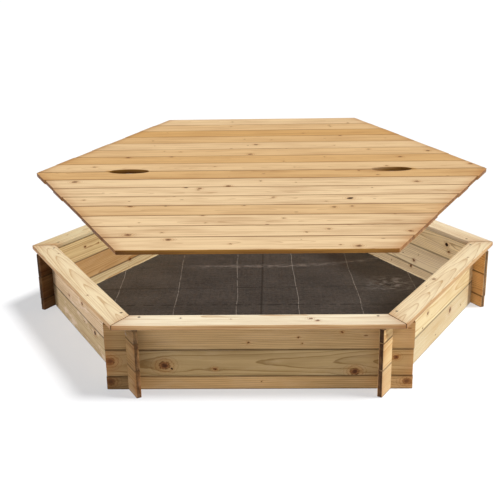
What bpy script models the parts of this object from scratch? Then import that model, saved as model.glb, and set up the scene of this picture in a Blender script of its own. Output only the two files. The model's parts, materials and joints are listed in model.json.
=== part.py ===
"""Hexagonal wooden sandbox with a two-part plank cover.

Metres, +Z up.  The origin is on the ground under the middle of the box, and one flat side
faces -Y.  Six walls of interlocking horizontal planks carry six mitred seat boards; a ground
liner lies inside.  The cover is two half hexagons of tongue-and-groove planks on battens.
It is modelled raised above the box and tilted a little forwards, as when it is lifted on or
off.  Each half turns about one far axis in front of the box, which brings it flat onto the
seat boards at -COVER_TILT.
"""

import math

import bmesh
import bpy
from mathutils import Vector

# Walls: planks on edge, notched into each other where two walls cross at 60 degrees.
PLANK_HEIGHT = 0.091
PLANK_THICKNESS = 0.016
WALL_CORNER_RADIUS = 0.812      # centre of the box to the crossing of two wall centrelines
STUB_LENGTH = 0.074             # how far a plank runs on past the crossing
PLANK_EDGE_ROUND = 0.003

# Seat boards: one mitred board on each wall.
SEAT_OUTER_RADIUS = 0.885       # centre to the outer corner of the seat
SEAT_INNER_RADIUS = 0.794
SEAT_THICKNESS = 0.016
SEAT_MITRE_GAP = 0.0012
SEAT_OUTER_ROUND = 0.006
SEAT_INNER_ROUND = 0.004
SEAT_UNDER_ROUND = 0.002

# Countersunk screws that hold a seat board down on its wall.
SCREW_X = 0.365                 # each side of the board's middle
SCREW_HEAD_RADIUS = 0.004
SCREW_HEAD_HEIGHT = 0.0028
SCREW_SHANK_RADIUS = 0.0018
SCREW_LENGTH = 0.045
SCREW_SIDES = 12
SCREW_CLEARANCE = 0.0003

# Ground liner.
LINER_RADIUS = 0.799
LINER_THICKNESS = 0.003

# Cover: half hexagons of tongue-and-groove planks that run left to right.
COVER_RADIUS = 0.840            # centre to a corner of the whole cover
COVER_THICKNESS = 0.016
COVER_PLANKS = 8                # in each half
COVER_PITCH = 0.090             # every plank but the outermost, which takes what is left
COVER_CHAMFER = 0.0025
COVER_JOINT_GAP = 0.0006
COVER_HALF_GAP = 0.003          # between the two halves
TONGUE_LENGTH = 0.006
TONGUE_LOW = 0.0055
TONGUE_HIGH = 0.0105
GROOVE_CLEARANCE = 0.0004

# Hand slots: one half of each is cut into either side of the line between the halves.
SLOT_X = 0.490
SLOT_HALF_LENGTH = 0.075
SLOT_HALF_WIDTH = 0.024
SLOT_SIDES = 32

# Battens under the cover.
BATTEN_WIDTH = 0.058
BATTEN_THICKNESS = 0.018
BATTEN_EDGE_ROUND = 0.002
BATTEN_FROM_SPLIT = 0.030
BATTEN_SIDE_APOTHEM = 0.668     # outer side of a slanted batten, clear of the seat boards
BATTEN_CENTRE_END = 0.668
BATTEN_SIDE_END = 0.650

# How the cover is raised.
COVER_RAISE = 0.2716            # the middle of the cover above its closed place
COVER_TILT = math.radians(5.0)

GAP = 0.0003                    # between pieces that touch

SIN60 = math.sin(math.radians(60))
COS60 = math.cos(math.radians(60))
TAN60 = math.tan(math.radians(60))

WALL_HEIGHT = 2.5 * PLANK_HEIGHT
WALL_APOTHEM = WALL_CORNER_RADIUS * SIN60
SEAT_TOP = WALL_HEIGHT + GAP + SEAT_THICKNESS
COVER_BOTTOM = SEAT_TOP + GAP   # the planks' underside when the cover is closed
COVER_APOTHEM = COVER_RADIUS * SIN60
COVER_TOP = COVER_BOTTOM + COVER_THICKNESS
AXIS_REACH = 0.5 * COVER_RAISE / math.tan(0.5 * COVER_TILT)
AXIS_Z = COVER_TOP + 0.5 * COVER_RAISE

# Walls in order from the front one, each 60 degrees on from the last.  An even wall starts
# with a half plank at the ground, an odd one ends with a half plank at the top.
WALLS = ("front", "right_front", "right_back", "back", "left_back", "left_front")


def clear_scene():
    for item in list(bpy.data.objects):
        bpy.data.objects.remove(item, do_unlink=True)


def make_material(name, colour, roughness, metallic=0.0):
    material = bpy.data.materials.new(name)
    material.use_nodes = True
    shader = material.node_tree.nodes["Principled BSDF"]
    shader.inputs["Base Color"].default_value = (*colour, 1.0)
    shader.inputs["Roughness"].default_value = roughness
    shader.inputs["Metallic"].default_value = metallic
    return material


def shade(colour, step):
    """A slightly lighter or darker board of the same wood."""
    factor = 1.0 + 0.05 * math.sin(2.4 * step)
    return tuple(min(1.0, channel * factor) for channel in colour)


def add_object(name, bm, material, location=(0, 0, 0), turn=0.0, parent=None):
    bmesh.ops.recalc_face_normals(bm, faces=bm.faces)
    mesh = bpy.data.meshes.new(name)
    bm.to_mesh(mesh)
    bm.free()
    mesh.materials.append(material)
    item = bpy.data.objects.new(name, mesh)
    bpy.context.scene.collection.objects.link(item)
    item.parent = parent
    item.location = location
    item.rotation_euler = (0, 0, turn)
    return item


def add_cutter(name, bm, location, turn=0.0, parent=None):
    cutter = add_object(name, bm, make_material(name, (0.5, 0.5, 0.5), 1.0), location, turn, parent)
    cutter.hide_render = True
    cutter.display_type = "WIRE"
    return cutter


def cut(item, cutter):
    modifier = item.modifiers.new(cutter.name, "BOOLEAN")
    modifier.operation = "DIFFERENCE"
    modifier.solver = "EXACT"
    modifier.object = cutter


def loft(rings):
    """A closed solid through rings of points, with a flat face on the first and the last."""
    bm = bmesh.new()
    loops = [[bm.verts.new(point) for point in ring] for ring in rings]
    for lower, upper in zip(loops, loops[1:]):
        for i in range(len(lower)):
            j = (i + 1) % len(lower)
            bm.faces.new((lower[i], lower[j], upper[j], upper[i]))
    bm.faces.new(loops[0])
    bm.faces.new(loops[-1])
    return bm


def prism(outline, low, high):
    """A closed solid that stands on a plan outline."""
    return loft([[(x, y, z) for x, y in outline] for z in (low, high)])


def cylinder(profile, sides, squash=1.0):
    """A closed turned solid from (radius, z) pairs; squash narrows it along Y."""
    rings = []
    for radius, z in profile:
        ring = []
        for i in range(sides):
            angle = 2 * math.pi * i / sides
            ring.append((radius * math.cos(angle), squash * radius * math.sin(angle), z))
        rings.append(ring)
    return loft(rings)


def round_edges(bm, chosen, width, segments):
    """Round the edges whose two ends both satisfy the test."""
    edges = [edge for edge in bm.edges if chosen(edge.verts[0].co, edge.verts[1].co)]
    bmesh.ops.bevel(
        bm, geom=edges, offset=width, segments=segments, profile=0.5, affect="EDGES",
        clamp_overlap=True)


def near(value, target):
    return abs(value - target) < 1e-6


def wall_plank_mesh(low, high, keep_low, keep_high):
    """One wall plank along X, notched down to keep_low..keep_high at both crossings."""
    end = 0.5 * WALL_CORNER_RADIUS + STUB_LENGTH
    half = 0.5 * PLANK_THICKNESS
    notch = (half + GAP) / SIN60

    def outline(y):
        centre = 0.5 * WALL_CORNER_RADIUS + y / TAN60
        cuts = (-centre - notch, -centre + notch, centre - notch, centre + notch)
        bottom = [(-end, low)]
        top = [(end, high)]
        if keep_low > low:
            levels = (low, keep_low, keep_low, low)
            for first, second in (cuts[:2], cuts[2:]):
                places = (first, first, second, second)
                bottom += list(zip(places, levels))
        if keep_high < high:
            levels = (high, keep_high, keep_high, high)
            for first, second in (cuts[2:], cuts[:2]):
                places = (second, second, first, first)
                top += list(zip(places, levels))
        return bottom + [(end, low)] + top + [(-end, high)]

    bm = loft([[(x, y, z) for x, z in outline(y)] for y in (-half, half)])

    def is_long_edge(a, b):
        level = near(a.z, b.z) and (near(a.z, low) or near(a.z, high))
        return level and near(a.y, b.y)

    def is_end_edge(a, b):
        return near(abs(a.x), end) and near(a.x, b.x)

    round_edges(bm, lambda a, b: is_long_edge(a, b) or is_end_edge(a, b), PLANK_EDGE_ROUND, 2)
    return bm


def wall_levels(is_even):
    """(low, high, keep_low, keep_high) of the planks of a wall, from the ground up.

    A whole plank loses a quarter of its height above and below at a crossing.  A half plank
    loses as much on its inner edge only.
    """
    height = PLANK_HEIGHT
    quarter = 0.25 * height
    clearance = 0.5 * GAP
    if is_even:
        edges = (0.0, 0.5 * height, 1.5 * height, WALL_HEIGHT)
    else:
        edges = (0.0, height, 2.0 * height, WALL_HEIGHT)
    planks = []
    for low, high in zip(edges, edges[1:]):
        is_half = high - low < 0.75 * height
        on_ground = low == 0.0
        under_seat = high == WALL_HEIGHT
        keep_low = low if is_half and on_ground else low + quarter + clearance
        keep_high = high if is_half and under_seat else high - quarter - clearance
        if not on_ground:
            low += clearance
        if not under_seat:
            high -= clearance
        planks.append((low, high, keep_low, keep_high))
    return planks


def wall_place(index, distance, z=0.0):
    """The point straight out from the centre towards a wall, and the turn of that wall."""
    turn = index * math.radians(60)
    return (distance * math.sin(turn), -distance * math.cos(turn), z), turn


def build_walls():
    top_planks = []
    for index, side in enumerate(WALLS):
        location, turn = wall_place(index, WALL_APOTHEM)
        for number, levels in enumerate(wall_levels(index % 2 == 0), start=1):
            name = f"wall_{side}_plank_{number}"
            colour = shade((0.55, 0.40, 0.20), index * 3 + number)
            material = make_material(name, colour, 0.65)
            plank = add_object(name, wall_plank_mesh(*levels), material, location, turn)
        top_planks.append(plank)
    return top_planks


def seat_board_mesh():
    """A mitred board along X; Y is measured from the centre of the box."""
    outer = SEAT_OUTER_RADIUS * SIN60
    inner = SEAT_INNER_RADIUS * SIN60
    side_gap = 0.5 * SEAT_MITRE_GAP / SIN60

    def half_length(apothem):
        return apothem / TAN60 - side_gap

    far = half_length(outer)
    close = half_length(inner)
    bm = prism([(-far, -outer), (far, -outer), (close, -inner), (-close, -inner)],
               0.0, SEAT_THICKNESS)

    def along(y, z):
        return lambda a, b: near(a.y, y) and near(b.y, y) and near(a.z, z) and near(b.z, z)

    round_edges(bm, along(-outer, SEAT_THICKNESS), SEAT_OUTER_ROUND, 4)
    round_edges(bm, along(-inner, SEAT_THICKNESS), SEAT_INNER_ROUND, 3)
    round_edges(bm, along(-outer, 0.0), SEAT_UNDER_ROUND, 2)
    round_edges(bm, along(-inner, 0.0), SEAT_UNDER_ROUND, 2)
    return bm


def screw_profile(clearance=0.0):
    """(radius, z) from the tip up to the flat of the head, z = 0 at the seat's top face."""
    shank = SCREW_SHANK_RADIUS + clearance
    head = SCREW_HEAD_RADIUS + clearance
    profile = [
        (0.4 * shank, -SCREW_LENGTH - clearance),
        (shank, -SCREW_LENGTH + 0.004),
        (shank, -SCREW_HEAD_HEIGHT - clearance),
        (head, -0.0006 - clearance),
        (head, 0.0006 if clearance else -0.0003)]
    return profile


def build_seat(top_planks):
    for index, side in enumerate(WALLS):
        centre, turn = wall_place(index, 0.0, WALL_HEIGHT + GAP)
        material = make_material(f"seat_{side}", shade((0.80, 0.62, 0.38), index), 0.55)
        board = add_object(f"seat_{side}", seat_board_mesh(), material, centre, turn)
        for end, sign in (("left", -1), ("right", 1)):
            along = Vector((math.cos(turn), math.sin(turn), 0)) * SCREW_X * sign
            place, turn = wall_place(index, WALL_APOTHEM, SEAT_TOP)
            place = Vector(place) + along
            hole = add_cutter(
                f"hole_{side}_{end}", cylinder(screw_profile(SCREW_CLEARANCE), SCREW_SIDES),
                place, turn)
            cut(board, hole)
            cut(top_planks[index], hole)
            name = f"seat_screw_{side}_{end}"
            steel = make_material(name, (0.55, 0.53, 0.48), 0.35, 1.0)
            screw = add_object(name, cylinder(screw_profile(), SCREW_SIDES), steel, place, turn)
            screw.data.shade_smooth()
            screw.data.set_sharp_from_angle(angle=math.radians(35))


def build_liner():
    corners = []
    for i in range(6):
        angle = math.radians(60) * i
        corners.append((LINER_RADIUS * math.cos(angle), LINER_RADIUS * math.sin(angle)))
    material = make_material("ground_liner", (0.035, 0.03, 0.028), 0.85)
    add_object("ground_liner", prism(corners, 0.0, LINER_THICKNESS), material)


def cover_plank_section(start, stop, is_first, is_last):
    """(distance from the split line, z) round one plank; z = 0 at its underside."""
    top = COVER_THICKNESS
    chamfer = COVER_CHAMFER
    shoulder = top - chamfer
    low = TONGUE_LOW
    high = TONGUE_HIGH
    section = [(start, 0.0)]
    if not is_first:
        groove = start + TONGUE_LENGTH + COVER_JOINT_GAP
        section += [(start, low - GROOVE_CLEARANCE), (groove, low - GROOVE_CLEARANCE),
                    (groove, high + GROOVE_CLEARANCE), (start, high + GROOVE_CLEARANCE)]
    section += [(start, shoulder), (start + chamfer, top), (stop - chamfer, top), (stop, shoulder)]
    if not is_last:
        tongue = stop + TONGUE_LENGTH
        section += [(stop, high), (tongue, high), (tongue, low), (stop, low)]
    section.append((stop, 0.0))
    return section


def cover_plank_mesh(number, sign):
    """One plank of a half cover, with its ends cut along the slanted sides of the hexagon."""
    is_first = number == 1
    is_last = number == COVER_PLANKS
    start = (number - 1) * COVER_PITCH + 0.5 * (COVER_HALF_GAP if is_first else COVER_JOINT_GAP)
    stop = COVER_APOTHEM if is_last else number * COVER_PITCH - 0.5 * COVER_JOINT_GAP
    section = cover_plank_section(start, stop, is_first, is_last)
    bm = bmesh.new()
    ends = []
    for side in (-1, 1):
        ring = []
        for distance, z in section:
            reach = COVER_RADIUS - distance / TAN60
            if z == COVER_THICKNESS:
                reach -= COVER_CHAMFER / SIN60
            ring.append(bm.verts.new((side * reach, sign * distance, z)))
        ends.append(ring)
    left, right = ends
    count = len(section)
    for i in range(count):
        j = (i + 1) % count
        bm.faces.new((left[i], left[j], right[j], right[i]))
    is_top = [near(z, COVER_THICKNESS) for distance, z in section]
    peak = is_top.index(True)
    for ring in ends:
        # The chamfer along the end, then the upright face under it.
        bm.faces.new(ring[peak - 1:peak + 3])
        bm.faces.new(ring[:peak] + ring[peak + 2:])
    return bm


def batten_outlines():
    """Plan outlines (x, distance from the split line) of the battens of one half cover."""
    start = BATTEN_FROM_SPLIT
    half = 0.5 * BATTEN_WIDTH
    centre = [(-half, start), (half, start), (half, BATTEN_CENTRE_END), (-half, BATTEN_CENTRE_END)]

    def slanted_x(apothem, distance):
        return (apothem - COS60 * distance) / SIN60

    outer = BATTEN_SIDE_APOTHEM
    inner = BATTEN_SIDE_APOTHEM - BATTEN_WIDTH
    right = [(slanted_x(inner, start), start), (slanted_x(outer, start), start),
             (slanted_x(outer, BATTEN_SIDE_END), BATTEN_SIDE_END),
             (slanted_x(inner, BATTEN_SIDE_END), BATTEN_SIDE_END)]
    left = [(-x, distance) for x, distance in reversed(right)]
    return {"left": left, "centre": centre, "right": right}


def build_cover_half(half_name, sign):
    """One half of the cover, hung from an empty on the axis that it turns about."""
    pivot = bpy.data.objects.new(f"axis_{half_name}", None)
    pivot.location = (0.0, -AXIS_REACH, AXIS_Z)
    pivot.rotation_euler = (COVER_TILT, 0.0, 0.0)
    bpy.context.scene.collection.objects.link(pivot)
    origin = (0.0, AXIS_REACH, COVER_BOTTOM - AXIS_Z)

    slots = []
    for side, place in (("left", -SLOT_X), ("right", SLOT_X)):
        hole = cylinder([(SLOT_HALF_LENGTH, -0.01), (SLOT_HALF_LENGTH, COVER_THICKNESS + 0.01)],
                        SLOT_SIDES, SLOT_HALF_WIDTH / SLOT_HALF_LENGTH)
        location = Vector(origin) + Vector((place, 0.0, 0.0))
        slots.append(add_cutter(f"slot_{half_name}_{side}", hole, location, 0.0, pivot))

    for number in range(1, COVER_PLANKS + 1):
        name = f"{half_name}_plank_{number}"
        material = make_material(name, shade((0.72, 0.48, 0.24), number * sign), 0.5)
        plank = add_object(name, cover_plank_mesh(number, sign), material, origin, 0.0, pivot)
        if number == 1:
            for slot in slots:
                cut(plank, slot)

    for side, outline in batten_outlines().items():
        name = f"{half_name}_batten_{side}"
        plan = [(x, sign * distance) for x, distance in outline]
        bm = prism(plan, -GAP - BATTEN_THICKNESS, -GAP)
        round_edges(bm, lambda a, b: a.z < -0.01 and b.z < -0.01, BATTEN_EDGE_ROUND, 2)
        material = make_material(name, (0.70, 0.50, 0.28), 0.6)
        add_object(name, bm, material, origin, 0.0, pivot)


def main():
    clear_scene()
    top_planks = build_walls()
    build_seat(top_planks)
    build_liner()
    build_cover_half("cover_front", -1)
    build_cover_half("cover_back", 1)


main()
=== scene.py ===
"""The looks of a hexagonal wooden sandbox with a two-part plank cover.

Every wooden piece is a board: a cross-section carried through stations along its length, with
its own grain, knots and wear.  Boards are made in their own coordinates, x along the grain,
y across the width and z through the thickness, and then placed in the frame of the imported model.
"""

import json
import math
import random
from collections import namedtuple

import bmesh
import bpy
from mathutils import Matrix, Vector, kdtree, noise


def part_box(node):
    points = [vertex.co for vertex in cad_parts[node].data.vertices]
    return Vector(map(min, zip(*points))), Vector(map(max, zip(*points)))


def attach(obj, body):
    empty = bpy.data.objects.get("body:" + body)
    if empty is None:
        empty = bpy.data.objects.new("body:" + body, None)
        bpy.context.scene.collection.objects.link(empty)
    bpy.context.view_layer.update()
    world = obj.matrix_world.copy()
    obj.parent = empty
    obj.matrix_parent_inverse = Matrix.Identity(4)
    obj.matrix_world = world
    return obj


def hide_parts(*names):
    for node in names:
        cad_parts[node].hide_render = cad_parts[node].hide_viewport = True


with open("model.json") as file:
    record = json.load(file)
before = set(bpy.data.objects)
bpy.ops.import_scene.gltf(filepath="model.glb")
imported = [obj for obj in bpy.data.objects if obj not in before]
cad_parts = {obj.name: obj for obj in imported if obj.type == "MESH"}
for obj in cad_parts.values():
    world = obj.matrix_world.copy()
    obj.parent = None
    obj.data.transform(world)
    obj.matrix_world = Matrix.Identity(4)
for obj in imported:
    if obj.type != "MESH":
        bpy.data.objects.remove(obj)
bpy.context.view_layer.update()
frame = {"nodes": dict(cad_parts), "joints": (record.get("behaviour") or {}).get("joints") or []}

SIN60 = math.sin(math.radians(60))
COT60 = 1.0 / math.tan(math.radians(60))
WALLS = ("front", "right_front", "right_back", "back", "left_back", "left_front")
COVER_HALVES = (("back", 0), ("front", 180))        # name, and how far it is turned in degrees
COVER_PLANKS = 8
BATTENS = ("left", "centre", "right")


# ---------------- sizes read from the frame

def move(x, y, z):
    return Matrix.Translation((x, y, z))


def spin(degrees, axis="Z"):
    return Matrix.Rotation(math.radians(degrees), 4, axis)


COVER_JOINT = next(joint for joint in frame["joints"] if joint["name"] == "cover_front_lift")
COVER_AXIS = Vector(COVER_JOINT["pos_m"])
COVER_TILT = -COVER_JOINT["range_deg"][0]           # from closed to how it stands at rest
OPEN_COVER = move(*COVER_AXIS) @ spin(COVER_TILT, "X") @ move(*-COVER_AXIS)


def closed_box(node):
    """(lowest corner, highest corner) of a cover node when the cover lies flat on the seat."""
    back = OPEN_COVER.inverted()
    points = [back @ vertex.co for vertex in frame["nodes"][node].data.vertices]
    low = Vector(min(p[i] for p in points) for i in range(3))
    high = Vector(max(p[i] for p in points) for i in range(3))
    return low, high


def reach_in_y(low, high):
    """How near and how far a box of the cover is from the line between the two halves."""
    return sorted((abs(low.y), abs(high.y)))


WALL_LOW, WALL_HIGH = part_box("wall_front_plank_2")
WALL_END = WALL_HIGH.x
WALL_THICKNESS = WALL_HIGH.y - WALL_LOW.y
WALL_APOTHEM = -0.5 * (WALL_LOW.y + WALL_HIGH.y)
WALL_CROSSING = 0.5 * WALL_APOTHEM / SIN60
PLANK_PITCH = 2.0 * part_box("wall_front_plank_1")[1].z
WALL_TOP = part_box("wall_front_plank_3")[1].z

SEAT_LOW, SEAT_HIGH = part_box("seat_front")
SEAT_MIDDLE = 0.5 * (SEAT_LOW.y + SEAT_HIGH.y)
SEAT_WIDTH = SEAT_HIGH.y - SEAT_LOW.y
SEAT_THICKNESS = SEAT_HIGH.z - SEAT_LOW.z
SEAT_MITRE = -SEAT_LOW.y * COT60 - SEAT_HIGH.x      # what each mitred end stays back

LINER_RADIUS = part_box("ground_liner")[1].x

COVER_LOW, COVER_HIGH = closed_box("cover_back_plank_1")
COVER_THICKNESS = COVER_HIGH.z - COVER_LOW.z
COVER_RADIUS = COVER_HIGH.x + COVER_LOW.y * COT60

GAP = 0.0003


# ---------------- colours

def srgb(red, green, blue):
    """A colour written as on a paint chart, 0 to 255, as the shader's own numbers."""
    def linear(value):
        value /= 255.0
        return value / 12.92 if value <= 0.04045 else ((value + 0.055) / 1.055) ** 2.4
    return (linear(red), linear(green), linear(blue))


def blend(first, second, share):
    return tuple(a + (b - a) * share for a, b in zip(first, second))


CREAM = srgb(236, 206, 164)
AMBER = srgb(208, 159, 94)
PINE_BROWN = srgb(150, 96, 48)
KNOT_BROWN = srgb(104, 52, 22)
KNOT_BLACK = srgb(34, 20, 13)
JOINT_BROWN = srgb(116, 74, 32)
WHITE = (1.0, 1.0, 1.0)


# ---------------- material nodes

class Value:
    """A node's output to reckon with: each operator adds a math node."""

    def __init__(self, graph, socket):
        self.graph = graph
        self.socket = socket

    def __add__(self, other):
        return self.graph.math("ADD", self, other)

    def __sub__(self, other):
        return self.graph.math("SUBTRACT", self, other)

    def __mul__(self, other):
        return self.graph.math("MULTIPLY", self, other)

    def __truediv__(self, other):
        return self.graph.math("DIVIDE", self, other)

    def __abs__(self):
        return self.graph.math("ABSOLUTE", self)

    def clamped(self):
        """Kept between 0 and 1."""
        return self.graph.math("ADD", self, 0.0, clamp=True)


class Graph:
    """Builds a node tree from short calls; an input may be a number, a colour or a Value."""

    def __init__(self, tree):
        self.tree = tree

    def node(self, kind, inputs, **settings):
        """A new node; inputs are given as {name or number: value}."""
        made = self.tree.nodes.new(kind)
        for key, value in settings.items():
            setattr(made, key, value)
        self.feed(made, inputs)
        return made

    def feed(self, node, inputs):
        """Sets or links a node's inputs."""
        for name, value in inputs.items():
            socket = node.inputs[name]
            if isinstance(value, Value):
                self.tree.links.new(value.socket, socket)
            elif socket.type == "RGBA":
                socket.default_value = (*value, 1.0)
            else:
                socket.default_value = value

    def out(self, node, socket=0):
        return Value(self, node.outputs[socket])

    def shade(self, kind, inputs, socket=0, **settings):
        """One output of a new shader node."""
        return self.out(self.node("ShaderNode" + kind, inputs, **settings), socket)

    def math(self, operation, first, second=0.0, clamp=False):
        return self.shade("Math", {0: first, 1: second}, operation=operation, use_clamp=clamp)

    def chain(self, operation, values):
        """Joins many values by one operation."""
        result = values[0]
        for value in values[1:]:
            result = self.math(operation, result, value)
        return result

    def sine(self, value):
        return self.math("SINE", value)

    def length(self, first, second):
        """The long side of the right-angled triangle with these two short sides."""
        return self.math("SQRT", first * first + second * second)

    def step(self, value, start, stop):
        """0 before start, 1 after stop, smooth between; start may be the larger."""
        ends = (start, stop, 0.0, 1.0) if start < stop else (stop, start, 1.0, 0.0)
        return self.shade("MapRange", dict(enumerate((value, *ends))), interpolation_type="SMOOTHSTEP")

    def mix(self, amount, first, second):
        return self.shade("Mix", {0: amount, 6: first, 7: second}, 2, data_type="RGBA")

    def vector(self, operation, first, second):
        return self.shade("VectorMath", {0: first, 1: second}, operation=operation)

    def join(self, x, y, z):
        return self.shade("CombineXYZ", {0: x, 1: y, 2: z})

    def split(self, value):
        made = self.node("ShaderNodeSeparateXYZ", {0: value})
        return [self.out(made, number) for number in range(3)]

    def stored(self, name, kind="GEOMETRY"):
        return self.shade("Attribute", {}, 1, attribute_type=kind, attribute_name=name)

    def noise(self, place, stretch, detail=2.0, roughness=0.5):
        """Noise from 0 to 1 whose repeats per metre along x, y and z are given by stretch."""
        return self.shade("TexNoise", {"Vector": self.vector("MULTIPLY", place, stretch),
                                       "Scale": 1.0, "Detail": detail, "Roughness": roughness})

    def bump(self, height, strength, distance):
        return self.shade("Bump", {"Height": height, "Strength": strength, "Distance": distance})


def new_material(name):
    """A material, the graph of its nodes and its shader node."""
    material = bpy.data.materials.new(name)
    material.use_nodes = True
    return material, Graph(material.node_tree), material.node_tree.nodes["Principled BSDF"]


def knot_group():
    """Where a point lies from one knot: how far, in knot sizes, and how much grain steps aside."""
    tree = bpy.data.node_groups.new("knot", "ShaderNodeTree")
    for name, side, kind in (("Place", "INPUT", "Vector"), ("Knot", "INPUT", "Vector"),
                             ("Shift", "OUTPUT", "Float"), ("Distance", "OUTPUT", "Float"),
                             ("Dead", "OUTPUT", "Float")):
        tree.interface.new_socket(name, in_out=side, socket_type="NodeSocket" + kind)
    g = Graph(tree)
    inlet = g.node("NodeGroupInput", {})
    x, y, _ = g.split(g.out(inlet, 0))
    knot_x, knot_y, knot_size = g.split(g.out(inlet, 1))
    size = g.math("MAXIMUM", abs(knot_size), 1e-5)
    along = (x - knot_x) * 0.78
    across = y - knot_y
    distance = g.length(along, across) / size
    reach = g.length(along * 0.45, across) / size
    aside = across / (reach * 0.9 + 0.55)
    is_near = g.math("LESS_THAN", distance, 1.6)
    is_black = g.math("LESS_THAN", knot_size, 0.0)
    g.node("NodeGroupOutput", {"Shift": aside * g.step(reach, 5.0, 0.6) * -1.0,
                               "Distance": distance, "Dead": is_near * is_black})
    return tree


KNOTS_PER_BOARD = 6
KNOT_NAMES = [f"knot_{number}" for number in range(1, KNOTS_PER_BOARD + 1)]
KNOT = knot_group()


def pine(name, rings, streaks, blotches, stain_shade_colours, ring_pitch=0.0034, weathered=False,
         roughness=0.55, joint_brown=JOINT_BROWN, knot_strength=1.0):
    """Softwood cut from a log, with two browns for light and full staining that also serve as painted
    shade.

    The growth rings are cylinders round a pith line that each board places for itself, so arches,
    straight grain and end grain all come from one solid pattern.  Knots push the grain aside.
    """
    material, g, shader = new_material(name)
    place = g.stored("grain")
    wear_edge, wear_end, stain_and_painted_light = g.split(g.stored("wear"))
    pale = g.stored("pale", "OBJECT")
    deep = g.stored("deep", "OBJECT")
    pith_y, pith_z, pith_tilt = g.split(g.stored("pith", "OBJECT"))
    spot = g.vector("ADD", place, g.stored("seed", "OBJECT"))
    x, y, z = g.split(place)

    # Every knot looks at a slightly ragged place, so that it isn't a perfect oval.
    ragged_x = x + (g.noise(spot, (70, 190, 60)) - 0.5) * 0.012
    ragged_y = y + (g.noise(spot, (110, 90, 50)) - 0.5) * 0.009
    ragged = g.join(ragged_x, ragged_y, z)
    knots = [g.node("ShaderNodeGroup", {"Place": ragged, "Knot": g.stored(knot_name, "OBJECT")},
                    node_tree=KNOT) for knot_name in KNOT_NAMES]
    nearest = g.chain("MINIMUM", [g.out(knot, "Distance") for knot in knots])
    is_dead = g.chain("MAXIMUM", [g.out(knot, "Dead") for knot in knots])
    aside = g.chain("ADD", [g.out(knot, "Shift") for knot in knots])

    # Growth rings.
    drift = (g.noise(spot, (1.1, 5, 5)) - 0.5) * 0.030
    waver = (g.noise(spot, (9, 30, 30)) - 0.5) * 0.0035
    radius = g.length(y + aside - pith_y, z - (pith_z + pith_tilt * x))
    ring = g.math("FRACT", (radius + (drift + waver)) / ring_pitch)
    late = (g.step(ring, 0.15, 0.90) * 0.35 + g.step(ring, 0.76, 0.93) * 0.90) * g.step(ring, 1.0, 0.96)

    # Streaks and blotches that follow the bent grain.
    bent = g.vector("ADD", spot, g.join(0.0, aside, 0.0))
    streak = g.noise(bent, (3.4, 62, 62), 3.0, 0.62)
    stripe = g.noise(bent, (4.2, 165, 165), 2.0, 0.6)
    blotch = g.noise(bent, (4.0, 17, 17), 3.0)
    fibre = g.noise(bent, (22, 1100, 1100), 2.0, 0.6)
    fine_streak = g.noise(bent, (5, 320, 320))
    amount = late * rings + 0.10
    for pattern, strength in ((streak, 0.85 * streaks), (stripe, 0.60 * streaks),
                              (blotch, blotches), (fine_streak, 0.35 * streaks), (fibre, 0.22)):
        amount += (pattern - 0.5) * strength
    colour = g.mix(amount.clamped(), pale, deep)

    # Weathered boards: grey patches and scuffs.
    if weathered:
        patch = g.step(g.noise(bent, (7.0, 24, 24), 5.0, 0.72), 0.50, 0.64)
        colour = g.mix(patch * g.split(g.stored("weather", "OBJECT"))[0], colour, srgb(232, 208, 184))

    # Knots: a warm halo, a swirl of grain lines, then rings, a broken dark rim and a dark heart.
    mottle = g.noise(spot, (130, 210, 130), 3.0, 0.6)
    turns = g.sine(nearest * 15.0) * 0.22 + (mottle * 1.3 - 0.20)
    heart = g.mix(turns.clamped(), srgb(152, 94, 48), srgb(90, 48, 22))
    inner = g.step(nearest, 1.04, 0.74) * (0.85 * knot_strength)
    swirl = g.step(g.sine(nearest * 8.6), 0.35, 0.95) * g.step(nearest, 3.6, 1.2)
    rim = g.step(abs(nearest - 0.93), 0.24, 0.04) * (mottle * 3.4 - 1.35).clamped()
    hole = is_dead * g.step(nearest, 1.00, 0.60)
    for share, tint in ((g.step(nearest, 2.6, 0.9) * (0.27 * knot_strength), srgb(186, 122, 58)),
                        (swirl * (0.40 * knot_strength), srgb(118, 70, 28)),
                        (inner, heart),
                        (rim * (0.85 * knot_strength), srgb(62, 34, 12)),
                        (g.step(nearest, 0.74, 0.30) * (0.85 * knot_strength), srgb(70, 37, 13)),
                        (hole * 0.92, KNOT_BLACK)):
        colour = g.mix(share, colour, tint)

    # Pin knots and specks.
    cells = g.node("ShaderNodeTexVoronoi",
                   {"Vector": g.vector("MULTIPLY", spot, (9.0, 26.0, 26.0)), "Scale": 1.0})
    is_picked = g.math("GREATER_THAN", g.split(g.out(cells, "Color"))[0], 0.62)
    speck = g.step(g.out(cells, "Distance"), 0.085, 0.035) * is_picked
    colour = g.mix(speck * 0.72, colour, KNOT_BROWN)

    # Ends drink more stain; joints and arrises hold some dirt.
    end = (wear_end * (blotch * 0.9 + 0.15)).clamped()
    colour = g.mix(end * 0.75, colour, srgb(168, 108, 56))
    joint = (wear_edge * (streak * 0.7 + 0.35)).clamped()
    colour = g.mix(joint, colour, joint_brown)

    # The third wear value from 0 to 1 browns the wood, as staining and as painted shade; above 1 it
    # darkens to black as painted shade; below 0 it warms as painted bounce light.
    figure = g.vector("DIVIDE", colour, pale)
    brown = g.mix((stain_and_painted_light * 0.8 + (streak * 0.5 - 0.25)).clamped(), *stain_shade_colours)
    stain_and_shade = (stain_and_painted_light * (late * 0.25 + 1.55)).clamped()
    colour = g.mix(stain_and_shade, colour, g.vector("MULTIPLY", brown, figure))
    colour = g.mix((stain_and_painted_light - 1.0).clamped(), colour, srgb(20, 11, 6))
    warm = g.vector("MULTIPLY", figure, srgb(240, 182, 104))
    colour = g.mix((stain_and_painted_light * -1.0).clamped(), colour, warm)

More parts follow.
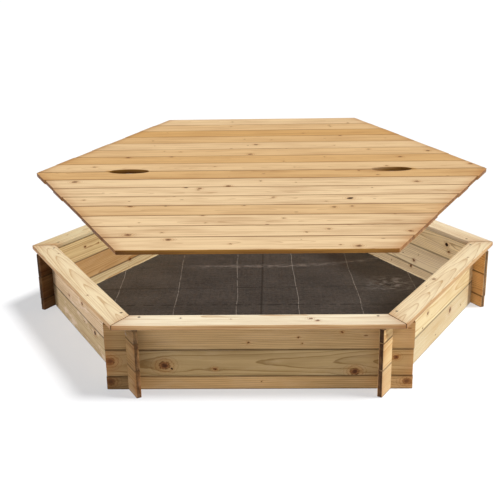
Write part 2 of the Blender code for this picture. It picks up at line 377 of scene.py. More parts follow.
    sheen = (fibre - 0.5) * 0.25 + roughness + late * -0.08 + inner * -0.10
    height = late * (0.5 * rings + 0.15) + fibre * 0.5 + inner * 0.5 + hole * -2.5 + speck * -0.6
    g.feed(shader, {"Base Color": colour, "Roughness": sheen, "Specular IOR Level": 0.14,
                    "Normal": g.bump(height, 0.45, 0.0005)})
    return material


# Browns for staining, which also paint shade on wall stubs and ends, in the hand slots, the mitres and
# the screw recesses.
HONEY_STAIN_AND_SHADE = (srgb(215, 160, 80), srgb(120, 78, 24))
SEAT_STAIN_AND_SHADE = (srgb(228, 184, 128), srgb(166, 126, 80))
OLIVE_STAIN_AND_SHADE = (srgb(208, 172, 118), srgb(92, 62, 34))
COVER_PINE = pine("cover_pine", rings=0.30, streaks=1.7, blotches=1.1, stain_shade_colours=HONEY_STAIN_AND_SHADE,
                  knot_strength=0.76)
SEAT_PINE = pine("seat_pine", rings=0.43, streaks=1.15, blotches=0.7, stain_shade_colours=SEAT_STAIN_AND_SHADE,
                 ring_pitch=0.0050, knot_strength=0.8)
WALL_PINE = pine("wall_pine", rings=0.82, streaks=1.2, blotches=1.0, stain_shade_colours=OLIVE_STAIN_AND_SHADE,
                 ring_pitch=0.0056, weathered=True, roughness=0.68, joint_brown=srgb(58, 34, 14))
BATTEN_PINE = pine("batten_pine", rings=0.35, streaks=0.8, blotches=0.6, stain_shade_colours=HONEY_STAIN_AND_SHADE,
                   roughness=0.65)

TAPE = 0.0026               # the width of a tape of the woven sheet
THREAD_PITCH = 0.242        # from one pale marker thread to the next
PALE_FOLD_Y = 0.405         # the fold across the back of the sheet, and how it bows on the right
PALE_FOLD_BOW = 0.34
FAINT_FOLD_Y = 0.155        # a faint fold in front of it, and its slope
FAINT_FOLD_SLOPE = 0.02


def woven_sheet():
    """Black polypropylene ground sheet: flat tapes woven both ways, with pale marker threads."""
    material, g, shader = new_material("liner_fabric")
    place = g.stored("weave")
    x, y, _ = g.split(place)

    # The two sets of tapes, one over and one under in turn.
    weave = g.sine(x * (math.pi / TAPE)) * g.sine(y * (math.pi / TAPE))
    weft = g.noise(place, (3.5, 210, 0.0), 3.0, 0.65)
    warp = g.noise(place, (260, 5.0, 0.0), 2.0, 0.6)
    cloud = g.noise(place, (5.0, 6.5, 0.0), 3.0, 0.6)
    worn = g.noise(place, (9.0, 46.0, 0.0), 4.0, 0.7)
    ribs = g.noise(place, (9.0, 64.0, 0.0), 4.0, 0.7)
    specks = g.noise(place, (75.0, 120.0, 0.0), 3.0, 0.75)
    fray = g.noise(place, (26.0, 80.0, 0.0), 4.0, 0.7)
    shade = weave * 0.06 + 0.36
    for pattern, strength in ((weft, 0.70), (ribs, 0.75), (specks, 1.6), (warp, 0.45), (cloud, 0.75)):
        shade += (pattern - 0.5) * strength
    colour = g.mix(shade.clamped(), srgb(40, 37, 36), srgb(94, 87, 83))

    # Marker threads run from front to back, a little wavy and askew.
    sway = (g.noise(place, (0.4, 4.0, 0.0)) - 0.5) * 0.022
    lane = (x + sway + (y * 0.034 + 0.2178)) / THREAD_PITCH
    from_thread = abs(g.math("FRACT", lane) - 0.5) * THREAD_PITCH
    is_whole = g.step(g.noise(place, (2.0, 34.0, 0.0)), 0.30, 0.52)
    thread = g.step(from_thread, 0.0015, 0.0006) * is_whole

    # Folds: painted shade down the middle, and along faint folds and short dashes in front; pale and
    # scuffed across the back.
    crease = g.step(abs(x), 0.0055, 0.0012)
    across = y - PALE_FOLD_Y - g.math("MAXIMUM", x, 0.0) * x * PALE_FOLD_BOW
    pale_fold = g.step(abs(across + (worn - 0.5) * 0.035), 0.026, 0.002) * g.step(fray, 0.40, 0.64)
    faint = abs(y - FAINT_FOLD_Y - x * FAINT_FOLD_SLOPE)
    faint_fold = g.step(faint, 0.0065, 0.0010) * g.step(worn, 0.42, 0.58)
    is_dash = g.step(g.noise(place, (26.0, 3.0, 0.0), 1.0), 0.42, 0.54)
    dashes = g.step(abs(y + 0.03), 0.0072, 0.0014) * is_dash

    # Whitish scuffs towards the right, and dust.
    rubbed = g.step(abs(x - 0.53), 0.13, 0.02) * g.step(abs(y - 0.19), 0.12, 0.02)
    dust = g.step(g.noise(place, (38.0, 120.0, 0.0), 3.0, 0.7), 0.62, 0.80)
    # The crease, the faint folds and the dashes get painted shade.
    for share, tint in ((thread * 0.50, srgb(190, 180, 172)),
                        (crease * 0.70, srgb(26, 22, 20)),
                        (pale_fold * g.step(x, -0.40, -0.20) * 0.60, srgb(150, 140, 134)),
                        (g.math("MAXIMUM", faint_fold, dashes) * 0.85, srgb(20, 17, 16)),
                        (rubbed * g.step(fray, 0.46, 0.64) * 0.85, srgb(166, 160, 158)),
                        (dust * 0.22, srgb(150, 140, 132))):
        colour = g.mix(share, colour, tint)
    height = weave * 0.5 + weft + thread * 0.8
    g.feed(shader, {"Base Color": colour, "Roughness": weft * 0.25 + 0.42,
                    "Specular IOR Level": 0.35, "Normal": g.bump(height, 0.5, 0.0006)})
    return material


def screw_steel():
    """Zinc-plated steel, yellowed a little in patches."""
    material, g, shader = new_material("screw_steel")
    place = g.stored("grain")
    tarnish = g.noise(place, (310, 310, 310), 3.0)
    scratch = g.noise(place, (2400, 300, 300))
    colour = g.mix(g.step(tarnish, 0.38, 0.66), srgb(176, 168, 150), srgb(112, 96, 70))
    g.feed(shader, {"Base Color": colour, "Roughness": scratch * 0.30 + 0.28, "Metallic": 0.9})
    return material


WOVEN_SHEET = woven_sheet()
SCREW_STEEL = screw_steel()


# ---------------- boards

# Where a board's cross-section stands: x, its width, how its plane leans and its inset.
Station = namedtuple("Station", "x low high lean_y lean_z inset", defaults=(0.0, 0.0, 0.0))

GUARD = 0.0022      # how near a rounded edge a side has its first point
UNEVENNESS = {"wall": 0.0003, "seat": 0.0002, "cover": 0.00018, "batten": 0.0003}


def fillet_loop(corners, pieces, round_steps=3):
    """A closed cross-section as (y, z, wear) points.

    Each corner is (y, z, radius, wear).  The side after it is cut into the given number of
    pieces, with a point close to either end, so that wear stays on the rounded edges.
    """
    count = len(corners)
    arcs = []
    for i, (y, z, radius, wear) in enumerate(corners):
        here = Vector((y, z))
        if radius <= 0:
            arcs.append([(here, wear)])
            continue
        before = Vector(corners[i - 1][:2])
        after = Vector(corners[(i + 1) % count][:2])
        start = here + (before - here).normalized() * radius
        stop = here + (after - here).normalized() * radius
        arc = []
        for k in range(round_steps + 1):
            t = k / round_steps
            arc.append((start * (1 - t) ** 2 + here * 2 * t * (1 - t) + stop * t * t, wear))
        arcs.append(arc)
    loop = []
    for i, arc in enumerate(arcs):
        loop += [(point.x, point.y, wear) for point, wear in arc]
        last, wear = arc[-1]
        following = arcs[(i + 1) % count][0][0]
        length = (following - last).length
        guard = min(GUARD / length, 0.3)
        inner = pieces[i] - 1
        for k in range(inner):
            share = guard + (1 - 2 * guard) * k / max(1, inner - 1) if inner > 1 else 0.5
            point = last.lerp(following, share)
            loop.append((point.x, point.y, 0.0 if inner > 2 else wear))
    return loop


def plank_section(thickness, rounds, pieces, round_steps=3):
    """A four-sided cross-section; rounds holds (radius, wear) of each corner in turn."""
    half = 0.5 * thickness

    def section(low, high):
        places = ((low, -half), (high, -half), (high, half), (low, half))
        corners = [(*place, *rounding) for place, rounding in zip(places, rounds)]
        return fillet_loop(corners, pieces, round_steps)
    return section


def shrink(loop, inset):
    """The loop moved inwards; it runs anticlockwise in (y, z)."""
    if not inset:
        return loop
    made = []
    for i, (y, z, wear) in enumerate(loop):
        before = loop[i - 1]
        after = loop[(i + 1) % len(loop)]
        normal = Vector((before[1] - after[1], after[0] - before[0]))
        normal = normal.normalized() if normal.length > 1e-9 else Vector((0, 0))
        made.append((y + normal.x * inset, z + normal.y * inset, wear))
    return made


def bridge(bm, rings):
    """Faces between each ring of points and the next."""
    count = len(rings[0])
    for first, second in zip(rings, rings[1:]):
        for i in range(count):
            j = (i + 1) % count
            bm.faces.new((first[i], first[j], second[j], second[i]))


def to_mesh(bm, name):
    mesh = bpy.data.meshes.new(name)
    bm.to_mesh(mesh)
    bm.free()
    return mesh


def store(mesh, name, values):
    attribute = mesh.attributes.get(name) or mesh.attributes.new(name, "FLOAT_VECTOR", "POINT")
    attribute.data.foreach_set("vector", [number for value in values for number in value])


def store_places(mesh):
    store(mesh, "grain", [vertex.co for vertex in mesh.vertices])


def add_object(name, data):
    made = bpy.data.objects.new(name, data)
    bpy.context.scene.collection.objects.link(made)
    return made


def board_mesh(name, stations, section, unevenness, seed, stain_and_shade=lambda x, y, z: 0.0,
               end_stain_and_shade=(1.1, 1.1), end_reach=0.030):
    """The mesh of a board, with its grain and wear stored on its points.

    Wear holds how near a point is to a worn edge and to an end, and how dark it is from staining,
    painted shade and painted warm bounce light: as the given pair says on the end faces, and elsewhere
    as the given function of x, y and z says.
    """
    bm = bmesh.new()
    grain = []
    wear = []
    rings = []
    x_low = stations[0].x
    x_high = stations[-1].x
    for station in stations:
        ring = []
        from_end = min(station.x - x_low, x_high - station.x)
        end = math.exp(-from_end / end_reach)
        for y, z, edge in shrink(section(station.low, station.high), station.inset):
            x = station.x + station.lean_y * y + station.lean_z * z
            ring.append(bm.verts.new((x, y, z)))
            grain.append((x, y, z))
            dark = stain_and_shade(station.x, y, z)
            if from_end < 1e-6:
                dark = end_stain_and_shade[0] if station is stations[0] else end_stain_and_shade[1]
            wear.append((edge, end, dark))
        rings.append(ring)
    bridge(bm, rings)
    bm.faces.new(rings[0])
    bm.faces.new(rings[-1])
    bmesh.ops.recalc_face_normals(bm, faces=bm.faces)
    bm.normal_update()
    offset = Vector(seed)
    for vertex in bm.verts:
        spot = vertex.co + offset
        lift = noise.noise(Vector((spot.x * 4.0, spot.y * 45.0, spot.z * 45.0)))
        lift += 0.5 * noise.noise(Vector((spot.x * 17.0, spot.y * 90.0, spot.z * 90.0)))
        vertex.co += vertex.normal * (lift - 0.8) * unevenness
    mesh = to_mesh(bm, name)
    store(mesh, "grain", grain)
    store(mesh, "wear", wear)
    return mesh


def finish_piece(mesh, material, place, body, replaced=None, smooth_angle=42.0):
    """A piece of the model, made from a mesh that already has the piece's name."""
    mesh.materials.append(material)
    mesh.shade_smooth()
    mesh.set_sharp_from_angle(angle=math.radians(smooth_angle))
    piece = add_object(mesh.name, mesh)
    piece.matrix_world = place
    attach(piece, body)
    if replaced:
        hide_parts(replaced)
    return piece


def dress(piece, seed, pale, deep, pith, knots, weather=0.0):
    """Gives a board its own colours, its place in the log, its knots and how scuffed it is."""
    piece["weather"] = (weather, weather, weather)
    piece["seed"] = seed
    piece["pale"] = pale
    piece["deep"] = deep
    piece["pith"] = pith
    far_away = [(9.0, 9.0, 0.0)] * KNOTS_PER_BOARD
    for knot_name, knot in zip(KNOT_NAMES, knots + far_away):
        piece[knot_name] = knot


def spread(start, stop, pitch):
    """Evenly spaced numbers from start to stop, both included."""
    pieces = max(1, round((stop - start) / pitch))
    return [start + (stop - start) * k / pieces for k in range(pieces + 1)]


def end_stations(x, low, high, lean, radius, direction):
    """Stations that round a board's end at x; direction is -1 at the left end, 1 at the right."""
    made = []
    for share in (0.0, 0.3, 1.0):
        inset = radius * (1.0 - math.sqrt(1.0 - (1.0 - share) ** 2))
        made.append(Station(x - direction * radius * share, low, high, lean, 0.0, inset))
    return made if direction < 0 else made[::-1]


def plain_stations(end, half_width, left_lean, right_lean, radius, margin, pitch):
    """A board of one width with rounded ends, which goes from one lean to the other."""
    made = end_stations(-end, -half_width, half_width, left_lean, radius, -1)
    for x in spread(-end + margin, end - margin, pitch):
        lean = left_lean + (right_lean - left_lean) * (x + end) / (2 * end)
        made.append(Station(x, -half_width, half_width, lean))
    return made + end_stations(end, -half_width, half_width, right_lean, radius, 1)


def random_pith(chance, width, quarter_share=0.25):
    """Mostly flat-sawn boards, with the pith under one face, and some nearer quarter-sawn."""
    sideways = chance.uniform(-0.5, 0.5) * width
    depth = -chance.uniform(0.018, 0.060)
    if chance.random() < quarter_share:
        sideways = chance.choice((-1, 1)) * chance.uniform(0.9, 1.6) * width
    return (sideways, depth, chance.uniform(-0.035, 0.035))


def random_knots(chance, reach, half_width, count, smallest, largest, dead_share=0.2):
    made = []
    for _ in range(count):
        size = chance.uniform(smallest, largest)
        if chance.random() < dead_share:
            size = -0.7 * size
        made.append((chance.uniform(-reach, reach), chance.uniform(-half_width, half_width), size))
    return made


def new_seed(chance):
    return tuple(chance.uniform(0, 40) for _ in range(3))


# ---------------- walls

WALL_ROUND = 0.0020
WALL_END_CUT = 0.003        # up to how much a plank's end is cut short
WALL_PITCH_ALONG = 0.025
WALL_SECTION = plank_section(WALL_THICKNESS, [(WALL_ROUND, 0.8)] * 4, (9, 3, 9, 3))


def wall_half(levels, short):
    """The right half of a plank, from its middle to its end, which is cut short a little."""
    low, high, keep_low, keep_high = levels
    plank_end = WALL_END - short
    reach = (0.5 * WALL_THICKNESS + GAP) / SIN60
    inner = WALL_CROSSING - reach
    outer = WALL_CROSSING + reach
    made = [Station(x, low, high, 0.0, -COT60 * x / inner)
            for x in spread(0.0, inner, WALL_PITCH_ALONG)]
    made.append(Station(inner, keep_low, keep_high, 0.0, -COT60))
    made.append(Station(outer, keep_low, keep_high, 0.0, -COT60))
    made.append(Station(outer, low, high, 0.0, -COT60))
    upright = plank_end - WALL_ROUND                # where the sections no longer lean
    for x in (outer + 0.016, outer + 0.032, outer + 0.048):
        made.append(Station(x, low, high, 0.0, -COT60 * (upright - x) / (upright - outer)))
    return made + end_stations(plank_end, low, high, 0.0, WALL_ROUND, 1)


def wall_stations(levels, short_left, short_right):
    """A plank with a notch at each crossing, whose sides follow the wall that crosses it."""
    left = [s._replace(x=-s.x, lean_z=-s.lean_z) for s in wall_half(levels, short_left)]
    return left[:0:-1] + wall_half(levels, short_right)


def wall_levels(is_even):
    """(low, high, keep_low, keep_high) of a wall's planks, from the ground up."""
    quarter = 0.25 * PLANK_PITCH
    half_gap = 0.5 * GAP
    heights = (0.0, 0.5, 1.5, 2.5) if is_even else (0.0, 1.0, 2.0, 2.5)
    planks = []
    for first, second in zip(heights, heights[1:]):
        low = first * PLANK_PITCH
        high = min(second * PLANK_PITCH, WALL_TOP)
        is_half = second - first < 0.75
        keep_low = low if is_half and first == 0 else low + quarter + half_gap
        keep_high = high if is_half and second == 2.5 else high - quarter - half_gap
        if first:
            low += half_gap
        if second < 2.5:
            high -= half_gap
        planks.append((low, high, keep_low, keep_high))
    return planks


UPRIGHT = Matrix(((1, 0, 0, 0), (0, 0, -1, 0), (0, 1, 0, 0), (0, 0, 0, 1)))

# The pale wood of each wall's planks, from the ground up.
WALL_WOOD = {
    "front": ((202, 162, 111), (184, 155, 109), (204, 168, 119)),
    "right_front": ((212, 196, 160), (225, 205, 161), (248, 226, 172)),
    "right_back": ((244, 220, 180), (250, 228, 188), (254, 228, 180)),
    "back": ((222, 190, 142), (230, 198, 150), (216, 186, 138)),
    "left_back": ((212, 190, 148), (200, 160, 111), (227, 201, 150)),
    "left_front": ((198, 173, 133), (221, 192, 156), (219, 163, 95))}
WALL_LINES = {
    "front": (128, 96, 50), "right_front": (186, 140, 78), "right_back": (160, 124, 80),
    "back": (140, 100, 52), "left_back": (160, 114, 62), "left_front": (150, 110, 64)}
WALL_SCUFFS = {"left_front": 0.62, "right_front": 0.14, "right_back": 0.18}

# Where the knots are: along the wall, above the ground, size (negative for a black one).
WALL_KNOTS = {
    "front": ((-0.465, 0.098, 0.013), (-0.294, 0.083, 0.014), (-0.271, 0.072, -0.004),
              (-0.136, 0.070, 0.005), (0.298, 0.060, 0.012), (0.461, 0.026, 0.011),
              (0.424, 0.109, 0.007), (0.256, 0.193, 0.0035), (-0.032, 0.159, 0.003),
              (0.134, 0.157, 0.002), (-0.468, 0.027, 0.012)),
    "right_front": ((0.139, 0.062, 0.009), (-0.099, 0.139, 0.006)),
    "left_front": ((-0.182, 0.115, 0.006), (-0.024, 0.136, 0.007), (0.102, 0.073, -0.008)),
    "right_back": ((-0.267, 0.193, -0.008), (-0.281, 0.167, 0.005), (-0.072, 0.068, 0.006),
                   (-0.054, 0.038, 0.006)),
    "left_back": ((0.227, 0.185, 0.0045), (-0.047, 0.046, 0.006), (0.31, 0.11, 0.005)),
    "back": ((-0.21, 0.10, 0.009), (0.16, 0.17, 0.008), (0.33, 0.07, -0.006), (-0.02, 0.03, 0.007))}

# Boards whose grain is chosen: where the pith runs, across and through the board, and its slope.
WALL_PITH = {("front", 3): (0.100, -0.016, 0.006), ("front", 2): (0.004, -0.046, 0.030),
             ("front", 1): (0.060, -0.030, 0.004)}

# Painted shade on the part beyond the crossing, at the left end and at the right; a negative value
# paints a warm bounce light instead.
# The end faces are darker still: end grain, with painted shade where the value passes 1.
STUB_SHADE_AND_BOUNCE = {
    ("front", 1): (0.84, 0.12), "front": (0.54, -0.15), "right_front": (-0.26, 0.0),
    "right_back": (-0.76, 0.30), "back": (0.15, 0.15), "left_back": (0.2, 1.12),
    "left_front": (0.12, 0.72)}
END_STAIN_AND_SHADE = {"right_front": (1.08, 1.10), "right_back": (0.55, 0.90), "left_front": (1.25, 0.90)}


def build_wall_plank(chance, index, number, levels):
    side = WALLS[index]
    name = f"wall_{side}_plank_{number}"
    low, high = levels[:2]
    middle = 0.5 * (low + high)
    crossed = WALL_CROSSING + 0.5 * WALL_THICKNESS / SIN60
    seed = new_seed(chance)
    stations = wall_stations([level - middle for level in levels],
                             chance.uniform(0, WALL_END_CUT), chance.uniform(0, WALL_END_CUT))
    left_shading, right_shading = STUB_SHADE_AND_BOUNCE.get((side, number)) or STUB_SHADE_AND_BOUNCE[side]

    # Painted shade beyond the crossings; a negative value paints warm bounce light.
    def stub_shade_and_bounce(x, y, z):
        if abs(x) < crossed:
            return 0.0
        return left_shading if x < 0 else right_shading

    mesh = board_mesh(name + "_board", stations, WALL_SECTION, UNEVENNESS["wall"], seed,
                      stub_shade_and_bounce, END_STAIN_AND_SHADE.get(side, (1.25, 1.10)))
    place = spin(60 * index) @ move(0.0, -WALL_APOTHEM, middle) @ UPRIGHT
    piece = finish_piece(mesh, WALL_PINE, place, "sandbox", name)
    knots = []
    for x, height, size in WALL_KNOTS[side]:
        if low - 0.004 < height < high + 0.004:
            knots.append((x, height - middle, size))
    knots += random_knots(chance, 0.38, 0.4 * (high - low), 1, 0.002, 0.003, 0.3)
    pith = random_pith(chance, high - low, 0.1)
    pale = srgb(*WALL_WOOD[side][number - 1])
    dress(piece, seed, pale, blend(pale, srgb(*WALL_LINES[side]), 0.72),
          WALL_PITH.get((side, number), pith), knots, WALL_SCUFFS.get(side, 0.06))


def build_walls():
    chance = random.Random(11)
    for index in range(len(WALLS)):
        for number, levels in enumerate(wall_levels(index % 2 == 0), start=1):
            build_wall_plank(chance, index, number, levels)


# ---------------- seat

SEAT_TOP_ROUND = 0.0038         # of the outer edge
SEAT_INNER_ROUND = 0.0030
SEAT_UNDER_ROUND = 0.002
SEAT_END_ROUND = 0.0012
SEAT_SECTION = plank_section(
    SEAT_THICKNESS, ((SEAT_UNDER_ROUND, 0.25), (SEAT_UNDER_ROUND, 0.25), (SEAT_INNER_ROUND, 0.06),
                     (SEAT_TOP_ROUND, 0.08)), (9, 3, 11, 3), 4)
SEAT_END = -SEAT_MIDDLE * COT60 - SEAT_MITRE
SINK_RADIUS = 0.0047            # the recess for a screw's head
SINK_DEPTH = 0.0042
SINK_POINTS = 24
# Painted shade, near black, in the mitre gaps and in the screw recesses.
MITRE_STAIN_AND_SHADE = 1.8
SINK_SHADE = 1.7


def seat_stain_and_shade(x, y, z):
    """The outer edge is browner than the top; the mitre joints get painted shade, near black."""
    if SEAT_END - abs(x) < 0.0006:
        return MITRE_STAIN_AND_SHADE
    from_edge = y + 0.5 * SEAT_WIDTH
    if from_edge < 0.1 * SEAT_TOP_ROUND:
        return 0.58
    return 0.34 if from_edge < 0.5 * SEAT_TOP_ROUND else 0.0


def circle(count, radius, x=0.0, y=0.0):
    """Points evenly round a circle, as (x, y)."""
    turns = [2 * math.pi * k / count for k in range(count)]
    return [(x + radius * math.cos(turn), y + radius * math.sin(turn)) for turn in turns]


def countersink(board, centres):
    """Sinks round recesses into a board's top, and stores its grain and wear again."""
    mesh = board.data
    tree = kdtree.KDTree(len(mesh.vertices))
    for index, vertex in enumerate(mesh.vertices):
        tree.insert(vertex.co, index)
    tree.balance()
    old_wear = [tuple(item.vector) for item in mesh.attributes["wear"].data]
    top = 0.5 * SEAT_THICKNESS
    bm = bmesh.new()
    for x, y in centres:
        rings = []
        for height, share in ((top - SINK_DEPTH, 0.55), (top - 0.0004, 0.98), (top + 0.002, 1.12)):
            outline = circle(SINK_POINTS, share * SINK_RADIUS, x, y)
            rings.append([bm.verts.new((*point, height)) for point in outline])
        bridge(bm, rings)
        bm.faces.new(rings[0][::-1])
        bm.faces.new(rings[-1])
    bmesh.ops.recalc_face_normals(bm, faces=bm.faces)
    tool = add_object("countersink", to_mesh(bm, "countersink"))
    tool.matrix_world = board.matrix_world
    cut = board.modifiers.new("countersink", "BOOLEAN")
    cut.operation = "DIFFERENCE"
    cut.solver = "EXACT"
    cut.object = tool
    shaped = board.evaluated_get(bpy.context.evaluated_depsgraph_get())
    made = bpy.data.meshes.new_from_object(shaped)
    board.modifiers.remove(cut)
    board.data = made
    made.name = mesh.name
    bpy.data.objects.remove(tool)
    wear = []
    for vertex in made.vertices:
        place = vertex.co
        edge, end, dark = old_wear[tree.find(place)[1]]
        # Inside a recess the wood gets painted shade.
        from_screw = min(math.hypot(place.x - x, place.y - y) for x, y in centres)
        is_sunk = from_screw < 1.1 * SINK_RADIUS and 0.3 * top < place.z < top - 0.0003
        wear.append((edge, end, SINK_SHADE if is_sunk else dark))
    store_places(made)
    store(made, "wear", wear)


# The seat's knots: along the board, across it from the middle outwards, size.
SEAT_KNOTS = {
    "front": ((0.160, -0.006, 0.006), (0.181, 0.009, 0.005), (-0.238, -0.015, -0.0025),
              (-0.082, -0.005, 0.0025)),
    "right_front": ((-0.047, -0.019, 0.006), (0.22, 0.012, 0.003)),
    "right_back": ((0.12, 0.01, 0.005),),
    "back": ((-0.25, 0.0, 0.007), (0.10, 0.02, 0.004)),
    "left_back": ((-0.10, -0.01, 0.004), (0.28, 0.01, 0.003)),
    "left_front": ((0.17, 0.020, 0.003), (-0.29, -0.02, 0.003))}

SEAT_WOOD = {
    "front": (245, 235, 210), "right_front": (241, 225, 191),
    "right_back": (243, 228, 197), "back": (232, 212, 174),
    "left_back": (224, 210, 173), "left_front": (239, 224, 190)}

SEAT_LINES = srgb(176, 126, 62)

# Where the pith runs on boards whose grain is chosen.
SEAT_PITH = {"left_front": (0.006, -0.032, 0.040), "right_front": (-0.008, -0.036, -0.034),
             "front": (0.030, -0.060, 0.004)}


def build_seat_board(chance, index):
    side = WALLS[index]
    name = f"seat_{side}"
    seed = new_seed(chance)
    stations = plain_stations(SEAT_END, 0.5 * SEAT_WIDTH, COT60, -COT60, SEAT_END_ROUND, 0.008, 0.022)
    mesh = board_mesh(name + "_board", stations, SEAT_SECTION, UNEVENNESS["seat"], seed,
                      seat_stain_and_shade, (MITRE_STAIN_AND_SHADE, MITRE_STAIN_AND_SHADE))
    place = spin(60 * index) @ move(0.0, SEAT_MIDDLE, 0.5 * (SEAT_LOW.z + SEAT_HIGH.z))
    piece = finish_piece(mesh, SEAT_PINE, place, "sandbox", name)
    screws = []
    for end in ("left", "right"):
        low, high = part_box(f"seat_screw_{side}_{end}")
        screws.append((place.inverted() @ (0.5 * (low + high))).xy)
    countersink(piece, screws)
    knots = [(x, -out, size) for x, out, size in SEAT_KNOTS[side]]
    pale = srgb(*SEAT_WOOD[side])
    pith = random_pith(chance, SEAT_WIDTH)
    dress(piece, seed, pale, blend(pale, SEAT_LINES, 0.84), SEAT_PITH.get(side, pith), knots)


def build_seat():
    chance = random.Random(23)
    for index in range(len(WALLS)):
        build_seat_board(chance, index)


# ---------------- cover

COVER_ARRIS = 0.0021
COVER_UNDER_ARRIS = 0.0010
COVER_EDGE_ROUND = 0.0045
COVER_EDGE_UNDER_ROUND = 0.003
COVER_END_ROUND = 0.0018
COVER_END_CUTS = (0.0, 0.0015, 0.0035)      # how much a plank's end may be cut short
TONGUE_LENGTH = 0.006
TONGUE_LOW = 0.0055
TONGUE_HIGH = 0.0105
GROOVE_EXTRA = 0.0005
SLOT_X = 0.490
SLOT_HALF_LENGTH = 0.075
SLOT_HALF_WIDTH = 0.0232
SLOT_STEPS = 32


def step_aside(edge, far, first, last):
    """The sharp corners of a tongue or groove between two heights."""
    places = ((edge, first), (far, first), (far, last), (edge, last))
    return [(*place, 0.0, 1.0) for place in places]


def cover_section(is_first, is_last, arris_wear):
    """Tongue-and-groove plank: y grows away from the line between the two halves."""
    half = 0.5 * COVER_THICKNESS
    tongue_low = TONGUE_LOW - half
    tongue_high = TONGUE_HIGH - half

    def section(low, high):
        corners = [(low, -half, COVER_UNDER_ARRIS, 0.4)]
        counts = [9]
        if is_last:
            corners += [(high, -half, COVER_EDGE_UNDER_ROUND, 0.4), (high, half, COVER_EDGE_ROUND, 0.10)]
            counts += [2]
        else:
            corners += [(high, -half, COVER_UNDER_ARRIS, 0.4),
                        *step_aside(high, high + TONGUE_LENGTH, tongue_low, tongue_high),
                        (high, half, COVER_ARRIS, arris_wear)]
            counts += [1, 1, 1, 1, 1]
        corners += [(low, half, COVER_ARRIS, arris_wear)]
        counts += [11]
        if is_first:
            counts += [2]
        else:
            deep = low + TONGUE_LENGTH + 2 * GROOVE_EXTRA
            corners += step_aside(low, deep, tongue_high + GROOVE_EXTRA, tongue_low - GROOVE_EXTRA)
            counts += [1, 1, 1, 1, 1]
        return fillet_loop(corners, counts)
    return section


def slot_depth(x):
    """How far a hand slot reaches from the line between the halves at x."""
    away = (abs(x) - SLOT_X) / SLOT_HALF_LENGTH
    return SLOT_HALF_WIDTH * math.sqrt(1.0 - away * away) if abs(away) < 1.0 else 0.0


def cover_places(is_first, end):
    """x of the stations between a plank's rounded ends, closer together along the hand slots."""
    places = spread(-end + 0.010, end - 0.010, 0.024)
    if is_first:
        inside = SLOT_HALF_LENGTH + 0.004
        places = [x for x in places if abs(abs(x) - SLOT_X) > inside]
        for middle in (-SLOT_X, SLOT_X):
            for k in range(SLOT_STEPS + 1):
                places.append(middle - SLOT_HALF_LENGTH * math.cos(math.pi * k / SLOT_STEPS))
    return sorted(places)


# Warmth of each plank, 0 cream to 1 amber, from the line between the halves outwards.
COVER_TONES = {"front": (0.68, 0.06, 0.02, 0.06, 0.44, 0.08, 0.06, 0.06),
               "back": (0.32, 0.72, 0.48, 0.26, 0.60, 0.84, 0.46, 0.16)}

# The larger knots: x from the middle, share of the plank's width from its inner edge, size.
COVER_KNOTS = {
    ("front", 2): ((-0.11, 0.92, 0.009), (0.56, 0.57, 0.008), (-0.67, 0.25, 0.010)),
    ("front", 3): ((-0.26, 0.05, -0.006), (-0.21, 0.16, 0.007)),
    ("front", 4): ((0.31, 0.40, -0.010), (0.05, 0.22, 0.006), (-0.60, 0.34, 0.004)),
    ("front", 5): ((-0.43, 0.06, 0.008), (-0.31, 0.04, -0.004), (0.25, 0.30, 0.007),
                   (0.31, 0.23, 0.005), (-0.05, 0.05, 0.005)),
    ("front", 6): ((-0.18, 0.03, 0.006), (-0.38, 0.69, 0.003), (0.44, 0.03, 0.004)),
    ("front", 7): ((-0.40, 0.80, 0.010), (0.22, 0.39, 0.006), (0.15, 0.66, 0.004),
                   (0.47, 0.64, 0.008)),
    ("front", 8): ((-0.27, 0.20, 0.009), (0.30, 0.80, 0.009), (-0.08, 0.58, 0.004)),
    ("back", 1): ((-0.63, 0.61, 0.006), (0.475, 0.40, 0.006), (0.79, 0.54, 0.008)),
    ("back", 2): ((-0.52, 0.90, 0.008), (0.54, 0.63, 0.007), (-0.35, 0.95, 0.006)),
    ("back", 3): ((-0.04, 0.20, 0.009), (0.66, 0.44, 0.008), (0.43, 0.75, 0.005)),
    ("back", 4): ((-0.02, 0.63, 0.008), (0.30, 0.40, 0.003)),
    ("back", 5): ((0.33, 0.95, 0.006), (-0.45, 0.40, 0.004)),
    ("back", 7): ((0.30, 0.5, 0.004),),
    ("back", 8): ((0.38, 0.1, 0.004),)}


